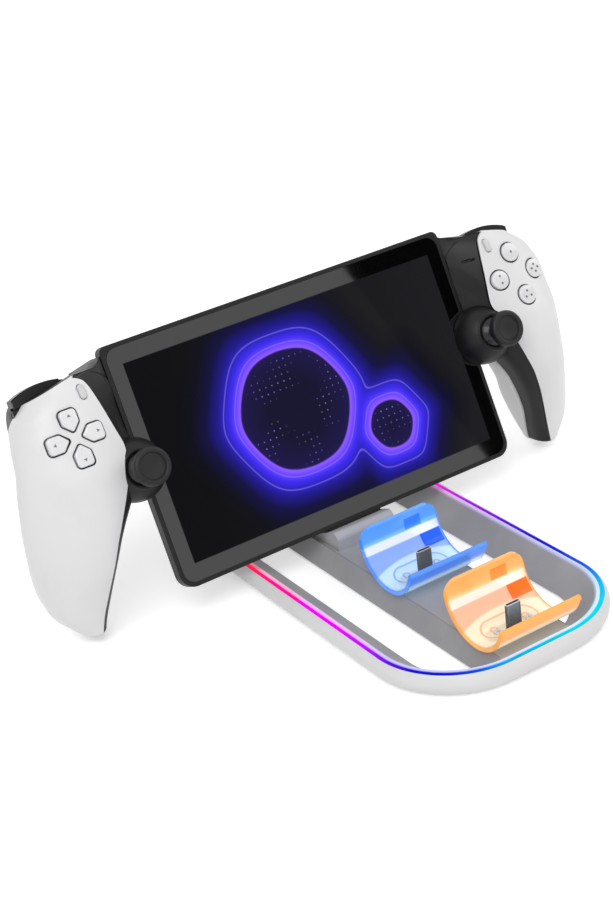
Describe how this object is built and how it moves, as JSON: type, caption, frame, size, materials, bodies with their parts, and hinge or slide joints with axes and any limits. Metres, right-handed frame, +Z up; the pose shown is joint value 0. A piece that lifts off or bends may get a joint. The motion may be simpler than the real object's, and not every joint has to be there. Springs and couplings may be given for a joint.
{
  "type": "handheld game console on charging dock",
  "caption": "Handheld game console with side grips, sticks and triggers, leaning on a hinged stand over a low lit dock with half-pipe controller cradles.",
  "frame": {"origin": "on the resting surface, under the middle of the box round the whole object", "axes": "+X to the player's right along the console's length, +Y from the player to the back of the dock, +Z up"},
  "size_m": [0.314, 0.2216, 0.1293],
  "materials": {
    "dock_white": "satin",
    "dock_gray": "fine matt",
    "light": "milky light guide",
    "circuit": "solder mask",
    "black_plastic": "fine matt",
    "rubber": "matt",
    "steel": "brushed",
    "cradle_blue": "translucent gloss",
    "cradle_orange": "translucent gloss",
    "cover_glass": "polished",
    "panel": "lit display",
    "cell": "foil",
    "grip_white": "satin",
    "white_polymer": "smooth",
    "soft_black": "satin",
    "key_clear": "clear moulding",
    "key_white": "gloss"
  },
  "bodies": {
    "dock": {"base_shell": "dock_white", "deck_frame": "dock_gray", "light_strip": "light", "led_ribbon": "circuit", "bottom_cover": "black_plastic", "dock_board": "circuit", "power_inlet": "black_plastic", "rubber_feet": "rubber", "dock_screws": "steel", "rear_cradle": "cradle_blue", "front_cradle": "cradle_orange", "rear_plug": "steel", "front_plug": "steel", "hinge_pin": "steel"},
    "stand": {"stand_arm": "dock_gray", "stand_pad": "rubber", "stand_plug": "steel"},
    "left_gimbal": {"left_stick_yoke": "white_polymer"},
    "left_lever": {"left_stick": "soft_black"},
    "left_thumb": {"left_stick_cap": "rubber"},
    "right_gimbal": {"right_stick_yoke": "white_polymer"},
    "right_lever": {"right_stick": "soft_black"},
    "right_thumb": {"right_stick_cap": "rubber"},
    "dpad_up": {"dpad_up": "key_white"},
    "dpad_down": {"dpad_down": "key_white"},
    "dpad_left": {"dpad_left": "key_white"},
    "dpad_right": {"dpad_right": "key_white"},
    "action_top": {"action_top": "key_clear"},
    "action_bottom": {"action_bottom": "key_clear"},
    "action_left": {"action_left": "key_clear"},
    "action_right": {"action_right": "key_clear"},
    "create_button": {"create_button": "key_clear"},
    "options_button": {"options_button": "key_clear"},
    "left_bumper_body": {"left_bumper": "soft_black"},
    "left_trigger_body": {"left_trigger": "soft_black"},
    "right_bumper_body": {"right_bumper": "soft_black"},
    "right_trigger_body": {"right_trigger": "soft_black"},
    "console": {"screen_glass": "cover_glass", "lcd_panel": "panel", "front_frame": "black_plastic", "rear_cover": "black_plastic", "battery": "cell", "main_board": "circuit", "charge_port": "steel", "speakers": "black_plastic", "left_grip_front": "grip_white", "right_grip_front": "grip_white", "left_grip_rear": "grip_white", "right_grip_rear": "grip_white", "left_grip_core": "black_plastic", "right_grip_core": "black_plastic", "haptic_motors": "steel", "grip_screws": "steel", "key_pads": "rubber", "trigger_frames": "black_plastic", "left_stick_base": "black_plastic", "right_stick_base": "black_plastic"}
  },
  "joints": [
    {"name": "stand_tilt", "type": "hinge", "parent": "dock", "child": "stand", "pos_m": [0, 0.0335, 0.0062], "axis": [1, 0, 0], "range_deg": [-4, 16]},
    {"name": "console_lift", "type": "slide", "parent": "stand", "child": "console", "axis": [0, 0.4067, 0.9135], "range_m": [0, 0.08]},
    {"name": "left_stick_pitch", "type": "hinge", "parent": "console", "child": "left_gimbal", "pos_m": [-0.1028, 0.05175, 0.07927], "axis": [1, 0, 0], "range_deg": [-18, 18], "stiffness_Nm_per_rad": 0.02},
    {"name": "left_stick_roll", "type": "hinge", "parent": "left_gimbal", "child": "left_lever", "pos_m": [-0.1028, 0.05175, 0.07927], "axis": [0, 0.4067, 0.9135], "range_deg": [-18, 18], "stiffness_Nm_per_rad": 0.02},
    {"name": "left_stick_click", "type": "slide", "parent": "left_lever", "child": "left_thumb", "axis": [0, 0.9135, -0.4067], "range_m": [0, 0.0005], "stiffness_N_per_m": 1500, "springref_m": -0.0003},
    {"name": "right_stick_pitch", "type": "hinge", "parent": "console", "child": "right_gimbal", "pos_m": [0.1028, 0.05175, 0.07927], "axis": [1, 0, 0], "range_deg": [-18, 18], "stiffness_Nm_per_rad": 0.02},
    {"name": "right_stick_roll", "type": "hinge", "parent": "right_gimbal", "child": "right_lever", "pos_m": [0.1028, 0.05175, 0.07927], "axis": [0, 0.4067, 0.9135], "range_deg": [-18, 18], "stiffness_Nm_per_rad": 0.02},
    {"name": "right_stick_click", "type": "slide", "parent": "right_lever", "child": "right_thumb", "axis": [0, 0.9135, -0.4067], "range_m": [0, 0.0005], "stiffness_N_per_m": 1500, "springref_m": -0.0003},
    {"name": "dpad_up_press", "type": "slide", "parent": "console", "child": "dpad_up", "axis": [0, 0.8788, -0.4772], "range_m": [0, 0.0009], "stiffness_N_per_m": 600, "springref_m": -0.0006},
    {"name": "dpad_down_press", "type": "slide", "parent": "console", "child": "dpad_down", "axis": [0, 0.8788, -0.4772], "range_m": [0, 0.0009], "stiffness_N_per_m": 600, "springref_m": -0.0006},
    {"name": "dpad_left_press", "type": "slide", "parent": "console", "child": "dpad_left", "axis": [0, 0.8788, -0.4772], "range_m": [0, 0.0009], "stiffness_N_per_m": 600, "springref_m": -0.0006},
    {"name": "dpad_right_press", "type": "slide", "parent": "console", "child": "dpad_right", "axis": [0, 0.8788, -0.4772], "range_m": [0, 0.0009], "stiffness_N_per_m": 600, "springref_m": -0.0006},
    {"name": "action_top_press", "type": "slide", "parent": "console", "child": "action_top", "axis": [0, 0.8788, -0.4772], "range_m": [0, 0.0009], "stiffness_N_per_m": 600, "springref_m": -0.0006},
    {"name": "action_bottom_press", "type": "slide", "parent": "console", "child": "action_bottom", "axis": [0, 0.8788, -0.4772], "range_m": [0, 0.0009], "stiffness_N_per_m": 600, "springref_m": -0.0006},
    {"name": "action_left_press", "type": "slide", "parent": "console", "child": "action_left", "axis": [0, 0.8788, -0.4772], "range_m": [0, 0.0009], "stiffness_N_per_m": 600, "springref_m": -0.0006},
    {"name": "action_right_press", "type": "slide", "parent": "console", "child": "action_right", "axis": [0, 0.8788, -0.4772], "range_m": [0, 0.0009], "stiffness_N_per_m": 600, "springref_m": -0.0006},
    {"name": "create_button_press", "type": "slide", "parent": "console", "child": "create_button", "axis": [0, 0.8788, -0.4772], "range_m": [0, 0.0005], "stiffness_N_per_m": 600, "springref_m": -0.0006},
    {"name": "options_button_press", "type": "slide", "parent": "console", "child": "options_button", "axis": [0, 0.8788, -0.4772], "range_m": [0, 0.0005], "stiffness_N_per_m": 600, "springref_m": -0.0006},
    {"name": "left_bumper_press", "type": "hinge", "parent": "console", "child": "left_bumper_body", "pos_m": [-0.122, 0.08624, 0.11591], "axis": [0, -0.9135, 0.4067], "range_deg": [0, 2], "stiffness_Nm_per_rad": 0.8, "springref_deg": -2.86},
    {"name": "left_trigger_pull", "type": "hinge", "parent": "console", "child": "left_trigger_body", "pos_m": [0, 0.084, 0.11088], "axis": [1, 0, 0], "range_deg": [-12, 0], "stiffness_Nm_per_rad": 0.12, "springref_deg": 9.74},
    {"name": "right_bumper_press", "type": "hinge", "parent": "console", "child": "right_bumper_body", "pos_m": [0.122, 0.08624, 0.11591], "axis": [0, -0.9135, 0.4067], "range_deg": [-2, 0], "stiffness_Nm_per_rad": 0.8, "springref_deg": 2.86},
    {"name": "right_trigger_pull", "type": "hinge", "parent": "console", "child": "right_trigger_body", "pos_m": [0, 0.084, 0.11088], "axis": [1, 0, 0], "range_deg": [-12, 0], "stiffness_Nm_per_rad": 0.12, "springref_deg": 9.74}
  ]
}
